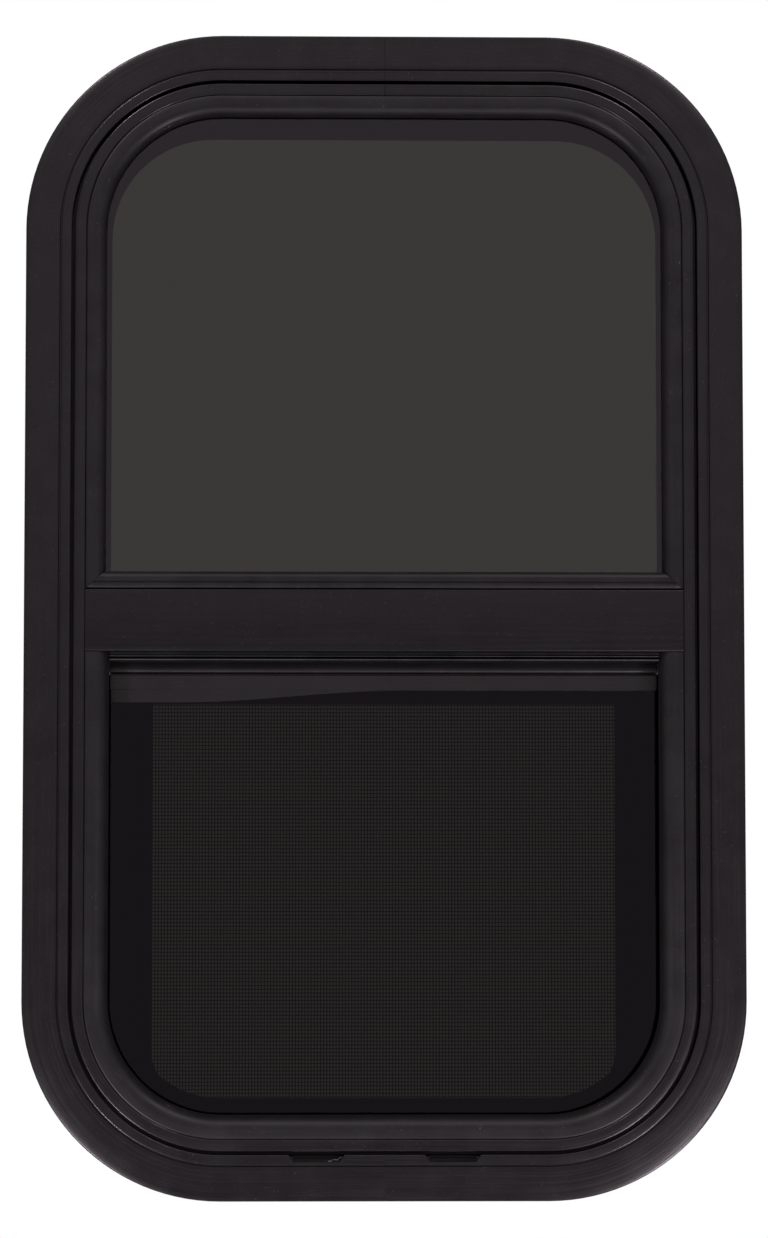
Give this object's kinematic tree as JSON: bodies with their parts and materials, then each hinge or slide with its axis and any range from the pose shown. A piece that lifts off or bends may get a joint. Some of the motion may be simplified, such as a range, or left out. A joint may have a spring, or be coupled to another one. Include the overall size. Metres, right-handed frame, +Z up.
{
  "type": "vertical sliding window",
  "caption": "Round-cornered caravan window: fixed tinted glass above, a sash that slides up inside, an insect screen, and a ring that clamps it in the wall.",
  "frame": {"origin": "middle of the flange's bottom strip, on the flange's flat back face that lies on the caravan's outer skin", "axes": "-Y faces outdoors, +Y points through the wall into the room, +Z is up, +X is to the right seen from outdoors"},
  "size_m": [0.34, 0.0458, 0.551],
  "materials": {
    "frame_coat": "black powder coat, satin",
    "black_rubber": "smooth extruded rubber",
    "tinted_glass": "dark privacy tint with a black printed border",
    "black_plastic": "moulded, matte",
    "screen_coat": "black powder coat, fine texture",
    "insect_mesh": "coated woven wire",
    "zinc_steel": "zinc plated",
    "black_screws": "black zinc plated"
  },
  "bodies": {
    "frame": {"mounting_flange": "frame_coat", "glazing_frame": "frame_coat", "frame_joint_plate": "zinc_steel", "upper_bead": "black_rubber", "upper_bead_strip": "black_rubber", "upper_glass": "tinted_glass", "glazing_tape": "black_rubber", "setting_blocks": "black_plastic", "middle_bar": "frame_coat", "bar_brackets": "zinc_steel", "bar_seal": "black_rubber", "lower_bead": "black_rubber", "sash_track": "black_plastic", "keeper_left": "zinc_steel", "keeper_right": "zinc_steel", "screen_seat": "black_plastic", "screen_frame": "screen_coat", "screen_top_bar": "screen_coat", "screen_brush": "black_rubber", "screen_mesh": "insect_mesh", "screen_spline": "black_rubber", "screen_clips": "black_plastic", "clamp_ring": "frame_coat", "clamp_screws": "black_screws"},
    "sash": {"sash_glass": "tinted_glass", "sash_rail": "frame_coat", "sash_pull": "frame_coat", "latch_body_left": "black_plastic", "latch_body_right": "black_plastic", "latch_bolt_left": "zinc_steel", "latch_bolt_right": "zinc_steel"}
  },
  "joints": [
    {"name": "sash_slide", "type": "slide", "parent": "frame", "child": "sash", "axis": [0, 0, 1], "range_m": [0, 0.2]}
  ]
}
